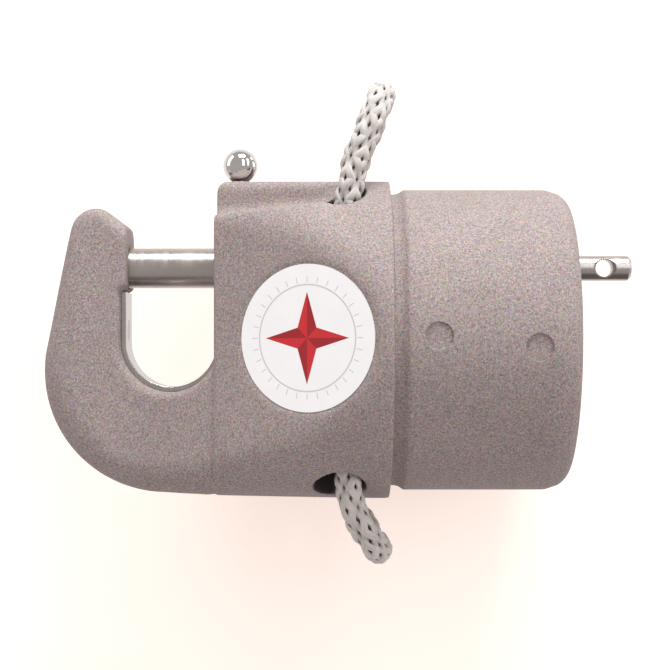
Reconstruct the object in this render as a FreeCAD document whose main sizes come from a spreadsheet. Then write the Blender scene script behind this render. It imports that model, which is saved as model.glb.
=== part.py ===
import FreeCAD
import Part
import Sketcher

import math
import os

Vector = FreeCAD.Vector
os.makedirs("parts", exist_ok=True)
doc = FreeCAD.newDocument("PoleEnd")

# Lengths in millimetres and angles in degrees. X runs along the pole, from the jaw (-X) to the plug (+X).
# Z is up. The origin is on the plug's axis, in the plane of the shoulder that meets the end of the pole.
DIMENSIONS = {
    # Plug and shoulder
    "drum_radius": 50.2,
    "spigot_radius": 47.5,
    "spigot_length": 55.5,
    "spigot_wall": 5.5,
    "spigot_floor": 5.0,
    "lead_length": 6.4,
    "lead_drop": 1.6,
    "lead_round": 1.5,
    "groove_width": 3.5,
    "groove_depth": 0.9,
    "dimple_radius": 4.3,
    "dimple_depth": 0.5,
    "dimple_front": 13.7,
    "dimple_rear": 42.8,
    "dimple_rise": 4.4,
    # Wedge body
    "body_length": 54.0,
    "taper_angle": 25.7,
    "shoulder_land": 1.5,
    "arm_half": 11.0,
    "knee_radius": 40.0,
    "flank_round": 14.0,
    "belly_drop": 50.1,
    "rib_half": 8.5,
    "ledge_front": 38.0,
    "ledge_rear": 40.8,
    "ledge_length": 28.0,
    "cove_radius": 12.0,
    "rib_foot_radius": 4.0,
    "ledge_round": 3.0,
    "brow_round": 4.0,
    # Hook
    "heel_back": 71.1,
    "heel_drop": 10.0,
    "heel_radius": 38.0,
    "arm_lean": 10.7,
    "crown_radius": 8.0,
    "crown_back": 91.9,
    "crown_height": 41.9,
    "beak_slope": 33.0,
    "beak_back": 82.0,
    "heel_round": 10.0,
    "arm_round": 9.0,
    "beak_round": 4.0,
    # Throat and its liner
    "throat_back": 68.25,
    "throat_drop": 0.55,
    "throat_radius": 14.25,
    "liner_gauge": 1.5,
    "liner_half": 8.5,
    "liner_top": 15.0,
    "liner_gap": 0.1,
    "throat_shelf": 15.6,
    "screw_radius": 2.0,
    "screw_head": 3.4,
    "screw_length": 9.0,
    "screw_height": 3.0,
    "throat_round": 2.0,
    # Piston and what moves with it
    "axis_height": 22.8,
    "piston_radius": 6.35,
    "piston_nose": 90.0,
    "piston_tail": 36.0,
    "nose_bevel": 1.2,
    "running_gap": 0.06,
    "fit_gap": 0.02,
    "part_gap": 0.3,
    "rod_radius": 3.97,
    "rod_tip": 77.1,
    "rod_grip": 8.0,
    "rod_bevel": 1.0,
    "eye_back": 8.6,
    "eye_radius": 2.75,
    "eye_flare": 0.8,
    "pin_radius": 1.5,
    "stem_radius": 2.5,
    "slot_gap": 0.4,
    "stem_back": 47.0,
    "stem_grip": 7.0,
    "ball_radius": 5.5,
    "ball_height": 55.3,
    "stem_in_ball": 4.0,
    # Spring and guide at the back
    "spring_radius": 5.1,
    "spring_wire": 0.7,
    "spring_turns": 9.0,
    "seat_gap": 0.15,
    "boss_radius": 12.0,
    "boss_end": 32.0,
    "plug_radius": 8.0,
    "plug_length": 10.0,
    "plug_nose": 3.0,
    "plug_nose_radius": 5.6,
    "ring_gauge": 1.2,
    "ring_depth": 0.8,
    "ring_margin": 1.0,
    # Badge
    "badge_radius": 22.0,
    "badge_gauge": 0.6,
    "badge_sink": 0.8,
    "badge_rim": 0.5,
    "badge_back": 25.6,
    # Rope and its holes
    "rope_radius": 4.5,
    "rope_hole_radius": 6.3,
    "rope_hole_back": 14.6,
    "rope_hole_side": 19.0,
}


class Size:
    """A length or angle worked out from the sheet, with the expression that keeps it bound to its cells."""

    def __init__(self, value, text):
        self.value = float(value)
        self.text = text

    def __add__(self, other):
        return joined(self, "+", other)

    def __radd__(self, other):
        return joined(other, "+", self)

    def __sub__(self, other):
        return joined(self, "-", other)

    def __rsub__(self, other):
        return joined(other, "-", self)

    def __mul__(self, other):
        return joined(self, "*", other)

    def __rmul__(self, other):
        return joined(other, "*", self)

    def __truediv__(self, other):
        return joined(self, "/", other)

    def __neg__(self):
        return joined(0, "-", self)


def as_size(number):
    return number if isinstance(number, Size) else Size(number, str(float(number)))


def joined(left, sign, right):
    left = as_size(left)
    right = as_size(right)
    results = {
        "+": lambda: left.value + right.value,
        "-": lambda: left.value - right.value,
        "*": lambda: left.value * right.value,
        "/": lambda: left.value / right.value,
    }
    return Size(results[sign](), f"({left.text} {sign} {right.text})")


def sine(angle):
    return Size(math.sin(math.radians(angle.value)), f"sin({angle.text})")


def cosine(angle):
    return Size(math.cos(math.radians(angle.value)), f"cos({angle.text})")


def tangent(angle):
    return Size(math.tan(math.radians(angle.value)), f"tan({angle.text})")


def root(number):
    return Size(math.sqrt(number.value), f"sqrt({number.text})")


class Sizes:
    """The driving dimensions: one named cell of the sheet for each."""


def write_sheet():
    sheet = doc.addObject("Spreadsheet::Sheet", "Sizes")
    for row, (name, value) in enumerate(DIMENSIONS.items(), 1):
        sheet.set(f"A{row}", name.replace("_", " "))
        sheet.set(f"B{row}", str(value))
        sheet.setAlias(f"B{row}", name)
    doc.recompute()
    sizes = Sizes()
    for name in DIMENSIONS:
        setattr(sizes, name, Size(sheet.get(name), f"Sizes.{name}"))
    return sizes


s = write_sheet()


def bind(item, setting, size):
    """Ties one setting of an object to the sheet."""
    item.setExpression(setting, as_size(size).text)


def place(item, x=0, y=0, z=0, rotation=None):
    """Puts an object at a point that follows the sheet, turned by a fixed rotation."""
    spot = [as_size(x), as_size(y), as_size(z)]
    turn = rotation or FreeCAD.Rotation()
    item.Placement = FreeCAD.Placement(Vector(*[v.value for v in spot]), turn)
    for letter, size in zip("xyz", spot):
        bind(item, f"Placement.Base.{letter}", size)


ALONG_X = FreeCAD.Rotation(Vector(0, 1, 0), 90)
ALONG_Y = FreeCAD.Rotation(Vector(1, 0, 0), -90)


def cylinder(name, radius, length, x=0, y=0, z=0, rotation=None):
    item = doc.addObject("Part::Cylinder", name)
    bind(item, "Radius", radius)
    bind(item, "Height", length)
    place(item, x, y, z, rotation)
    return item


def cone(name, radius, end_radius, length, x=0, y=0, z=0, rotation=None):
    item = doc.addObject("Part::Cone", name)
    bind(item, "Radius1", radius)
    bind(item, "Radius2", end_radius)
    bind(item, "Height", length)
    place(item, x, y, z, rotation)
    return item


def block(name, long, wide, high, x=0, y=0, z=0):
    item = doc.addObject("Part::Box", name)
    bind(item, "Length", long)
    bind(item, "Width", wide)
    bind(item, "Height", high)
    place(item, x, y, z)
    return item


def fused(name, *pieces):
    item = doc.addObject("Part::MultiFuse", name)
    item.Shapes = list(pieces)
    item.Refine = True
    return item


def shared(name, *pieces):
    item = doc.addObject("Part::MultiCommon", name)
    item.Shapes = list(pieces)
    item.Refine = True
    return item


def cut(name, base, *tools):
    item = doc.addObject("Part::Cut", name)
    item.Base = base
    item.Tool = tools[0] if len(tools) == 1 else fused(name + "_tools", *tools)
    item.Refine = True
    return item


def rounded(name, base, radius_at):
    """Rounds the edges of a solid; radius_at gives the radii at an edge's two ends, or None to leave it."""
    doc.recompute()
    item = doc.addObject("Part::Fillet", name)
    item.Base = base
    chosen = []
    for number, edge in enumerate(base.Shape.Edges, 1):
        radii = radius_at(edge)
        if radii is not None:
            chosen.append((number, radii[0], radii[1]))
    item.Edges = chosen
    return item


def middle(edge):
    return edge.valueAt((edge.FirstParameter + edge.LastParameter) / 2)


def ends(edge):
    return [edge.valueAt(edge.FirstParameter), edge.valueAt(edge.LastParameter)]


def new_body(name):
    return doc.addObject("PartDesign::Body", name)


def arc_between(start, end, radius):
    """The part of a circle from start to end: centre to the left of the way for a positive radius."""
    chord = end - start
    half = chord.Length / 2
    rise = math.sqrt(max(radius * radius - half * half, 0))
    left = Vector(-chord.y, chord.x, 0).normalize()
    centre = (start + end) * 0.5 + left * (rise if radius > 0 else -rise)
    first, last = (start, end) if radius > 0 else (end, start)
    angles = [math.atan2(p.y - centre.y, p.x - centre.x) for p in (first, last)]
    circle = Part.Circle(centre, Vector(0, 0, 1), abs(radius))
    return Part.ArcOfCircle(circle, angles[0], angles[1])


def profile(body, name, plane_role, corners):
    """A closed outline on one of a body's own planes, with every corner and radius bound to the sheet.

    A corner is (across, up), or (across, up, radius) where the edge that leaves it is an arc.
    """
    sketch = body.newObject("Sketcher::SketchObject", name)
    plane = [item for item in body.Origin.OriginFeatures if item.Role == plane_role][0]
    sketch.AttachmentSupport = [(plane, "")]
    sketch.MapMode = "FlatFace"
    corners = [tuple(as_size(number) for number in corner) for corner in corners]
    tips = []
    for index, corner in enumerate(corners):
        follower = corners[(index + 1) % len(corners)]
        start = Vector(corner[0].value, corner[1].value, 0)
        end = Vector(follower[0].value, follower[1].value, 0)
        if len(corner) == 2:
            edge = sketch.addGeometry(Part.LineSegment(start, end), False)
            tips.append((edge, 1, 2))
        else:
            edge = sketch.addGeometry(arc_between(start, end, corner[2].value), False)
            tips.append((edge, 1, 2) if corner[2].value > 0 else (edge, 2, 1))
    for index, corner in enumerate(corners):
        edge, first, last = tips[index]
        follower = tips[(index + 1) % len(corners)]
        sketch.addConstraint(Sketcher.Constraint("Coincident", edge, last, follower[0], follower[1]))
        for kind, size in (("DistanceX", corner[0]), ("DistanceY", corner[1])):
            spot = sketch.addConstraint(Sketcher.Constraint(kind, -1, 1, edge, first, size.value))
            sketch.setExpression(f"Constraints[{spot}]", size.text)
        if len(corner) == 3:
            bend = corner[2] if corner[2].value > 0 else -corner[2]
            spot = sketch.addConstraint(Sketcher.Constraint("Radius", edge, bend.value))
            sketch.setExpression(f"Constraints[{spot}]", bend.text)
    return sketch


def pad(body, name, plane_role, corners, length):
    feature = body.newObject("PartDesign::Pad", name)
    feature.Profile = profile(body, name + "_outline", plane_role, corners)
    feature.SideType = "Symmetric"
    bind(feature, "Length", length)
    return feature


def turned(body, name, corners):
    """A solid turned about the X axis from its half section, whose corners are (along, radius)."""
    sketch = profile(body, name + "_section", "XY_Plane", corners)
    feature = body.newObject("PartDesign::Revolution", name)
    feature.Profile = sketch
    feature.ReferenceAxis = (sketch, ["H_Axis"])
    feature.Angle = 360
    return feature


# Places that several pieces share
FACE = -s.body_length
FLANK_AT_SHOULDER = s.drum_radius + s.shoulder_land * tangent(s.taper_angle)
BORE_RADIUS = s.piston_radius + s.running_gap
SEAT_RADIUS = s.throat_radius + s.liner_gauge + s.liner_gap
THROAT_REACH = s.throat_back - s.body_length
THROAT_LIP = -s.throat_drop - root(SEAT_RADIUS * SEAT_RADIUS - THROAT_REACH * THROAT_REACH)
BELLY_SLOPE = (s.belly_drop - s.heel_drop - s.heel_radius) / s.heel_back
NEAR = -1
FAR = 1
WELL_OUT = 1.5 * s.drum_radius
OVERRUN = s.body_length / 4
RING_SEAT = s.plug_radius + s.ring_depth
TRAVEL = s.piston_nose - s.body_length + s.part_gap
CLOSE = 0.1


def flank_at(back):
    """Half the body's thickness at a distance in front of the shoulder."""
    return FLANK_AT_SHOULDER - back * tangent(s.taper_angle)


def hook_outline():
    """The hook seen from the side: heel, leaning arm, crown, beak and the throat with its U-shaped floor."""
    heel = (-s.heel_back, -s.heel_drop)
    arm_foot = (heel[0] - s.heel_radius * cosine(s.arm_lean), heel[1] + s.heel_radius * sine(s.arm_lean))
    # The crown's centre is one radius inside both the arm's outer line and the beak's sloping top.
    crown_across = s.crown_radius * cosine(s.arm_lean)
    crown_up = s.crown_radius * sine(s.arm_lean)
    inside = (arm_foot[0] + crown_across, arm_foot[1] - crown_up)
    run = (
        (inside[0] + s.crown_back) * sine(s.beak_slope)
        + (inside[1] - s.crown_height) * cosine(s.beak_slope)
        + s.crown_radius
    ) / -cosine(s.beak_slope - s.arm_lean)
    centre = (inside[0] + run * sine(s.arm_lean), inside[1] + run * cosine(s.arm_lean))
    arm_top = (centre[0] - crown_across, centre[1] + crown_up)
    beak_top = (
        centre[0] + s.crown_radius * sine(s.beak_slope),
        centre[1] + s.crown_radius * cosine(s.beak_slope),
    )
    beak_tip = (-s.beak_back, beak_top[1] - (-s.beak_back - beak_top[0]) * tangent(s.beak_slope))
    throat_left = -s.throat_back - SEAT_RADIUS
    return [
        (FACE, -s.belly_drop + BELLY_SLOPE * s.body_length),
        (heel[0], heel[1] - s.heel_radius, -s.heel_radius),
        arm_foot,
        (arm_top[0], arm_top[1], -s.crown_radius),
        beak_top,
        beak_tip,
        (-s.beak_back, s.throat_shelf),
        (throat_left, s.throat_shelf),
        (throat_left, -s.throat_drop, SEAT_RADIUS),
        (FACE, THROAT_LIP),
    ]


def wedge_outline(side):
    """Half of the body seen from above: the tapering flank and the arm's parallel cheek."""
    turn = s.knee_radius * tangent(s.taper_angle / 2)
    knee = (FLANK_AT_SHOULDER - s.arm_half) / tangent(s.taper_angle)
    knee_rear = (turn * cosine(s.taper_angle) - knee, s.arm_half + turn * sine(s.taper_angle))
    tip = -2.5 * s.body_length
    return [
        (OVERRUN, 0),
        (OVERRUN, side * flank_at(-OVERRUN)),
        (knee_rear[0], side * knee_rear[1], -side * s.knee_radius),
        (-knee - turn, side * s.arm_half),
        (tip, side * s.arm_half),
        (tip, 0),
    ]


def wedge(name):
    halves = []
    for side, word in ((NEAR, "near"), (FAR, "far")):
        body = new_body(f"{name}_{word}")
        pad(body, f"{name}_{word}_pad", "XY_Plane", wedge_outline(side), 4 * s.drum_radius)
        halves.append(body)
    return fused(name, *halves)


def hook_radii(edge):
    """The hook's outer edges are rounded most at the heel and least at the beak."""
    spot = middle(edge)
    first, last = ends(edge)
    outer = abs(spot.y) > s.arm_half.value - CLOSE
    ahead = spot.x < FACE.value - CLOSE
    upright = abs(first.x - last.x) < CLOSE
    crown = spot.z > s.crown_height.value - s.crown_radius.value and spot.x < -s.beak_back.value - CLOSE
    outside = spot.z < THROAT_LIP.value - SEAT_RADIUS.value or spot.x < -s.crown_back.value
    chosen = outer and ahead and not upright and (crown or outside)
    return [hook_radius(first), hook_radius(last)] if chosen else None


def hook_radius(spot):
    """The round at one place: the flank's at the face, easing to the heel's, the arm's and the beak's."""
    low = -s.heel_drop.value - s.heel_radius.value / 2
    high = s.crown_height.value - s.crown_radius.value
    if spot.x > -s.heel_back.value:
        share = (spot.x + s.heel_back.value) / (s.heel_back.value - s.body_length.value)
        return s.heel_round.value + share * (s.flank_round.value - s.heel_round.value)
    if spot.z < low:
        return s.heel_round.value
    if spot.z < high and spot.x < -s.crown_back.value:
        share = (spot.z - low) / (high - low)
        return s.heel_round.value + share * (s.arm_round.value - s.heel_round.value)
    return s.beak_round.value


def throat_radii(edge):
    """The inner edges of the arm and of the throat's floor have one small round."""
    spot = middle(edge)
    outer = abs(spot.y) > s.arm_half.value - s.throat_round.value
    low = spot.z < s.throat_shelf.value + CLOSE
    inside = abs(spot.x + s.throat_back.value) < SEAT_RADIUS.value + CLOSE
    above = spot.z > THROAT_LIP.value - SEAT_RADIUS.value
    long = edge.Length > s.throat_round.value
    return [s.throat_round.value] * 2 if outer and low and inside and above and long else None


def hook(limits):
    body = new_body("hook_form")
    pad(body, "hook_pad", "XZ_Plane", hook_outline(), 4 * s.drum_radius)
    outside = rounded("hook_rounded", shared("hook_wedge", body, limits), hook_radii)
    return rounded("hook_eased", outside, throat_radii)


def flank_radii(edge):
    """The edges between the flat flanks and the round of the drum."""
    spot = middle(edge)
    on_flank = abs(spot.y) > s.arm_half.value and abs(spot.x + s.shoulder_land.value) < 5 * CLOSE
    return [s.flank_round.value] * 2 if on_flank and edge.Length > s.flank_round.value else None


def ledge(side, word):
    """What is taken off beside the rib: a shelf that climbs a little and ends in a cove at the shoulder."""
    climb = (s.ledge_rear - s.ledge_front) / s.ledge_length
    cove = FACE + s.ledge_length
    front = FACE - s.cove_radius
    top = s.ledge_rear + 2 * s.cove_radius
    body = new_body(f"ledge_{word}")
    corners = [
        (front, s.ledge_front - climb * s.cove_radius),
        (cove, s.ledge_rear, s.cove_radius),
        (cove + s.cove_radius, s.ledge_rear + s.cove_radius),
        (cove + s.cove_radius, top),
        (front, top),
    ]
    pad(body, f"ledge_{word}_pad", "XZ_Plane", corners, WELL_OUT)
    place(body, y=side * (s.rib_half + WELL_OUT / 2))

    def foot_radii(edge):
        spot = middle(edge)
        low = spot.z < (s.ledge_rear + s.cove_radius).value - CLOSE
        inner = abs(abs(spot.y) - s.rib_half.value) < CLOSE
        along = abs(ends(edge)[0].x - ends(edge)[1].x) > CLOSE
        return [s.rib_foot_radius.value] * 2 if low and inner and along else None

    return rounded(f"ledge_{word}_rounded", body, foot_radii)


def belly():
    """What the belly's flat takes off the round drum."""
    body = new_body("belly_flat")
    rear = s.body_length / 2
    corners = [
        (-s.heel_back, -s.belly_drop + BELLY_SLOPE * s.heel_back),
        (-s.heel_back, -WELL_OUT),
        (rear, -WELL_OUT),
        (rear, -s.belly_drop - BELLY_SLOPE * rear),
    ]
    pad(body, "belly_flat_pad", "XZ_Plane", corners, 4 * s.drum_radius)
    return body


def drum(limits):
    bar = cylinder("drum_bar", s.drum_radius, s.body_length + OVERRUN, x=FACE, rotation=ALONG_X)
    flanks = rounded("drum_flanks", shared("drum_wedge", bar, limits), flank_radii)
    rear = cylinder("drum_rear", WELL_OUT, 2 * OVERRUN, rotation=ALONG_X)
    return cut("drum_cut", flanks, rear, belly(), ledge(NEAR, "near"), ledge(FAR, "far"))


def shoulder_radii(edge):
    """The shelf's outer edges, where the light catches them."""
    spot = middle(edge)
    on_shelf = s.ledge_front.value - s.ledge_round.value < spot.z < s.ledge_rear.value + s.cove_radius.value
    outer = abs(spot.y) > s.rib_half.value + 1.5 * s.rib_foot_radius.value
    behind = spot.x > FACE.value + CLOSE
    long = edge.Length > s.ledge_round.value
    return [s.ledge_round.value] * 2 if on_shelf and outer and behind and long else None


def brow():
    """What rounds the front corner at the top of the rib."""
    top = s.drum_radius
    corners = [
        (FACE, top - s.brow_round, -s.brow_round),
        (FACE + s.brow_round, top),
        (FACE + s.brow_round, top + s.brow_round),
        (FACE - s.brow_round, top + s.brow_round),
        (FACE - s.brow_round, top - s.brow_round),
    ]
    body = new_body("brow")
    pad(body, "brow_pad", "XZ_Plane", corners, 4 * s.rib_half)
    return body


def spigot():
    """The plug that goes into the pole: groove behind the shoulder, tapered lead and hollow back."""
    body = new_body("spigot_form")
    seat = s.spigot_radius - s.groove_depth
    inside = s.spigot_radius - s.spigot_wall
    lead = s.spigot_length - s.lead_length
    corners = [
        (-s.spigot_floor, 0),
        (-s.spigot_floor, seat),
        (s.groove_width, seat),
        (s.groove_width, s.spigot_radius),
        (lead, s.spigot_radius),
        (s.spigot_length - s.lead_round, s.spigot_radius - s.lead_drop, -s.lead_round),
        (s.spigot_length, s.spigot_radius - s.lead_drop - s.lead_round),
        (s.spigot_length, inside),
        (s.spigot_floor, inside),
        (s.spigot_floor, 0),
    ]
    turned(body, "spigot_turned", corners)
    return body


def boss():
    """The boss inside the hollow plug, which carries the spring's bore and the guide plug."""
    return cylinder("boss", s.boss_radius, s.boss_end, z=s.axis_height, rotation=ALONG_X)


def bores():
    """The piston's bore, its socket in the hook, the guide plug's seat and its ring groove."""
    seat = s.boss_end - s.plug_length
    socket = s.piston_nose + s.part_gap
    ring = s.boss_end - s.ring_margin - s.ring_gauge - s.fit_gap
    widths = (
        ("bore", BORE_RADIUS, FACE, s.body_length + s.boss_end),
        ("socket", BORE_RADIUS, -socket, socket - s.throat_back),
        ("plug_seat", s.plug_radius + s.fit_gap, seat, 2 * s.plug_length),
        ("ring_groove", RING_SEAT, ring, s.ring_gauge + 2 * s.fit_gap),
    )
    return [cylinder(name, wide, long, x, 0, s.axis_height, ALONG_X) for name, wide, x, long in widths]


def knob_slot():
    """The slot through the rib in which the ball's stem slides."""
    half = s.stem_radius + s.slot_gap
    front = s.stem_back
    rear = s.stem_back - TRAVEL
    height = WELL_OUT - s.axis_height
    return [
        block("slot", front - rear, 2 * half, height, -front, -half, s.axis_height),
        cylinder("slot_front", half, height, x=-front, z=s.axis_height),
        cylinder("slot_rear", half, height, x=-rear, z=s.axis_height),
    ]


def rope_holes():
    holes = []
    for side, word in ((NEAR, "near"), (FAR, "far")):
        across = side * s.rope_hole_side
        name = f"rope_hole_{word}"
        holes.append(cylinder(name, s.rope_hole_radius, 2 * WELL_OUT, -s.rope_hole_back, across, -WELL_OUT))
    return holes


def flank_turn():
    """Turns an upright axis to point straight out of the near flank."""
    angle = math.radians(s.taper_angle.value)
    return FreeCAD.Rotation(Vector(0, 0, 1), Vector(-math.sin(angle), -math.cos(angle), 0))


def off_flank(name, radius, length, depth):
    """A round bar square to the near flank at the badge's place, which starts that deep under the flank."""
    return cylinder(
        name,
        radius,
        length,
        -s.badge_back + depth * sine(s.taper_angle),
        -flank_at(s.badge_back) + depth * cosine(s.taper_angle),
        0,
        flank_turn(),
    )


def dimples():
    """Shallow round marks on both sides of the plug, where it is fastened through the pole's wall."""
    marks = []
    for side, word in ((NEAR, "near"), (FAR, "far")):
        turn = FreeCAD.Rotation(Vector(0, 0, 1), Vector(0, side, 0))
        floor = s.spigot_radius - s.dimple_depth
        marks.append(cylinder(
            f"dimple_front_{word}", s.dimple_radius, s.lead_length, s.dimple_front,
            side * floor, floor * sine(s.dimple_rise), turn,
        ))
        marks.append(cylinder(
            f"dimple_rear_{word}", s.dimple_radius, s.lead_length, s.dimple_rear, side * floor, 0, turn,
        ))
    return marks


def liner_seat():
    """The recess in the front face for the liner's rear leg."""
    body = new_body("liner_seat")
    back = SEAT_RADIUS - s.throat_back
    top = s.liner_top + s.liner_gap
    corners = [
        (FACE - s.liner_gauge, top),
        (FACE - s.liner_gauge, THROAT_LIP),
        (FACE, THROAT_LIP, SEAT_RADIUS),
        (back, -s.throat_drop),
        (back, top),
    ]
    pad(body, "liner_seat_pad", "XZ_Plane", corners, 2 * (s.liner_half + s.liner_gap))
    return body


def screw_places():
    """Where each liner screw's axis meets the liner, and the way that it points."""
    return {
        "liner_screw_arm": ((-s.throat_back - s.throat_radius, 0, s.screw_height), Vector(-1, 0, 0)),
        "liner_screw_heel": ((-s.throat_back, 0, -s.throat_drop - s.throat_radius), Vector(0, 0, -1)),
    }


def screw_holes():
    holes = []
    for name, (spot, way) in screw_places().items():
        turn = FreeCAD.Rotation(Vector(0, 0, 1), way)
        holes.append(cylinder(
            name + "_hole", s.screw_radius + s.fit_gap, s.screw_length + s.part_gap, *spot, turn,
        ))
    return holes


def jaw_casting():
    limits = wedge("limits")
    front = cut("rib_brow", rounded("shelf_edges", drum(limits), shoulder_radii), brow())
    solid = fused("casting_solid", hook(limits), front, spigot(), boss())
    tools = bores() + knob_slot() + rope_holes() + dimples() + screw_holes()
    tools += [liner_seat(), off_flank("badge_recess", s.badge_radius + s.badge_rim, WELL_OUT, s.badge_sink)]
    return cut("jaw_casting", solid, *tools)


def throat_liner():
    """The U-shaped strip in the throat, with countersunk holes for its two screws."""
    body = new_body("liner_form")
    outer = s.throat_radius + s.liner_gauge
    middle_x = -s.throat_back
    floor = -s.throat_drop
    corners = [
        (middle_x - outer, s.liner_top),
        (middle_x - outer, floor, outer),
        (middle_x, floor - outer, outer),
        (middle_x + outer, floor),
        (middle_x + outer, s.liner_top),
        (middle_x + s.throat_radius, s.liner_top),
        (middle_x + s.throat_radius, floor, -s.throat_radius),
        (middle_x, floor - s.throat_radius, -s.throat_radius),
        (middle_x - s.throat_radius, floor),
        (middle_x - s.throat_radius, s.liner_top),
    ]
    pad(body, "liner_pad", "XZ_Plane", corners, 2 * s.liner_half)
    holes = []
    for name, (spot, way) in screw_places().items():
        turn = FreeCAD.Rotation(Vector(0, 0, 1), way)
        head = s.screw_head + s.fit_gap
        shank = s.screw_radius + s.fit_gap
        holes.append(cone(name + "_sink", head, shank, head - shank, *spot, turn))
        holes.append(cylinder(name + "_way", shank, 2 * s.liner_gauge, *spot, turn))
    return cut("throat_liner", body, *holes)


def liner_screw(name, spot, way):
    body = new_body(name)
    corners = [
        (0, 0),
        (0, s.screw_head),
        (s.screw_head - s.screw_radius, s.screw_radius),
        (s.screw_length, s.screw_radius),
        (s.screw_length, 0),
    ]
    turned(body, name + "_turned", corners)
    place(body, *spot, FreeCAD.Rotation(Vector(1, 0, 0), way))
    return body


def pin_place():
    return -s.piston_tail - s.rod_grip / 2


def piston():
    body = new_body("piston_bar")
    grip = s.rod_radius + s.fit_gap
    corners = [
        (-s.piston_nose, 0),
        (-s.piston_nose, s.piston_radius - s.nose_bevel),
        (s.nose_bevel - s.piston_nose, s.piston_radius),
        (-s.piston_tail, s.piston_radius),
        (-s.piston_tail, grip),
        (-s.piston_tail - s.rod_grip, grip),
        (-s.piston_tail - s.rod_grip, 0),
    ]
    turned(body, "piston_turned", corners)
    place(body, z=s.axis_height)
    stem_floor = s.axis_height + s.piston_radius - s.stem_grip - s.part_gap
    stem_hole = cylinder(
        "stem_hole", s.stem_radius + s.fit_gap, 2 * s.piston_radius, -s.stem_back, 0, stem_floor,
    )
    return cut("piston", body, stem_hole, pin_hole("piston_pin_hole", s.fit_gap))


def pin_hole(name, gap):
    reach = 2 * s.piston_radius
    return cylinder(name, s.pin_radius + gap, 2 * reach, pin_place(), -reach, s.axis_height, ALONG_Y)


def rod_pin():
    half = s.piston_radius - s.part_gap
    return cylinder("rod_pin", s.pin_radius, 2 * half, pin_place(), -half, s.axis_height, ALONG_Y)


def trip_rod():
    """The rod behind the piston, with a flared eye for the trip line at its end."""
    body = new_body("rod_bar")
    front = -s.piston_tail - s.rod_grip + s.part_gap
    corners = [
        (front, 0),
        (front, s.rod_radius),
        (s.rod_tip - s.rod_bevel, s.rod_radius),
        (s.rod_tip, s.rod_radius - s.rod_bevel),
        (s.rod_tip, 0),
    ]
    turned(body, "rod_turned", corners)
    place(body, z=s.axis_height)
    eye = s.rod_tip - s.eye_back
    tools = [
        pin_hole("rod_pin_hole", s.fit_gap),
        cylinder("eye", s.eye_radius, 4 * s.rod_radius, eye, -2 * s.rod_radius, s.axis_height, ALONG_Y),
    ]
    for side, word in ((NEAR, "near"), (FAR, "far")):
        turn = FreeCAD.Rotation(Vector(0, 0, 1), Vector(0, -side, 0))
        tools.append(cone(
            f"eye_flare_{word}", s.eye_radius + s.eye_flare, s.eye_radius, 2 * s.eye_flare,
            eye, side * s.rod_radius, s.axis_height, turn,
        ))
    return cut("trip_rod", body, *tools)


def knob_stem():
    foot = s.axis_height + s.piston_radius - s.stem_grip
    top = s.ball_height - s.ball_radius + s.stem_in_ball
    return cylinder("knob_stem", s.stem_radius, top - foot, -s.stem_back, 0, foot)


def ball_knob():
    ball = doc.addObject("Part::Sphere", "ball")
    bind(ball, "Radius", s.ball_radius)
    place(ball, -s.stem_back, 0, s.ball_height)
    foot = s.ball_height - 2 * s.ball_radius
    depth = s.ball_radius + s.stem_in_ball + s.fit_gap
    hole = cylinder("ball_hole", s.stem_radius + s.fit_gap, depth, -s.stem_back, 0, foot)
    return cut("ball_knob", ball, hole)


def return_spring():
    """The compression spring between the piston's tail and the guide plug."""
    end = s.spring_wire + s.seat_gap
    front = end - s.piston_tail
    height = s.boss_end - s.plug_length - end - front
    coil = doc.addObject("Part::Helix", "spring_coil")
    bind(coil, "Radius", s.spring_radius)
    bind(coil, "Height", height)
    bind(coil, "Pitch", height / s.spring_turns)
    place(coil, front, 0, s.axis_height, ALONG_X)
    wire = doc.addObject("Part::Circle", "spring_wire_section")
    bind(wire, "Radius", s.spring_wire)
    place(wire, front, 0, s.axis_height - s.spring_radius, FreeCAD.Rotation(Vector(1, 0, 0), 90))
    spring = doc.addObject("Part::Sweep", "return_spring")
    spring.Sections = [wire]
    spring.Spine = (coil, [])
    spring.Solid = True
    spring.Frenet = True
    return spring


def guide_plug():
    """The turned bush in the boss, which the rod slides in and the spring bears on."""
    body = new_body("guide_plug")
    front = s.boss_end - s.plug_length
    shoulder = s.boss_end - s.ring_margin - s.ring_gauge - s.fit_gap
    hole = s.rod_radius + s.running_gap
    corners = [
        (front, hole),
        (front, s.plug_radius),
        (shoulder, s.plug_radius),
        (shoulder, s.plug_nose_radius),
        (s.boss_end + s.plug_nose, s.plug_nose_radius),
        (s.boss_end + s.plug_nose, hole),
    ]
    turned(body, "guide_plug_turned", corners)
    place(body, z=s.axis_height)
    return body


def plug_circlip():
    """The spring ring behind the guide plug, open at the bottom."""
    front = s.boss_end - s.ring_margin - s.ring_gauge
    outer = RING_SEAT - s.fit_gap
    ring = cylinder("ring_outside", outer, s.ring_gauge, front, 0, s.axis_height, ALONG_X)
    inside = cylinder(
        "ring_inside", s.plug_nose_radius + s.part_gap, 2 * s.ring_gauge, front - s.ring_gauge / 2, 0,
        s.axis_height, ALONG_X,
    )
    half = s.plug_nose_radius / 2
    gap = block(
        "ring_gap", 2 * s.ring_gauge, 2 * half, 2 * outer, front - s.ring_gauge / 2, -half,
        s.axis_height - 2 * outer,
    )
    return cut("plug_circlip", ring, inside, gap)


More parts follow.
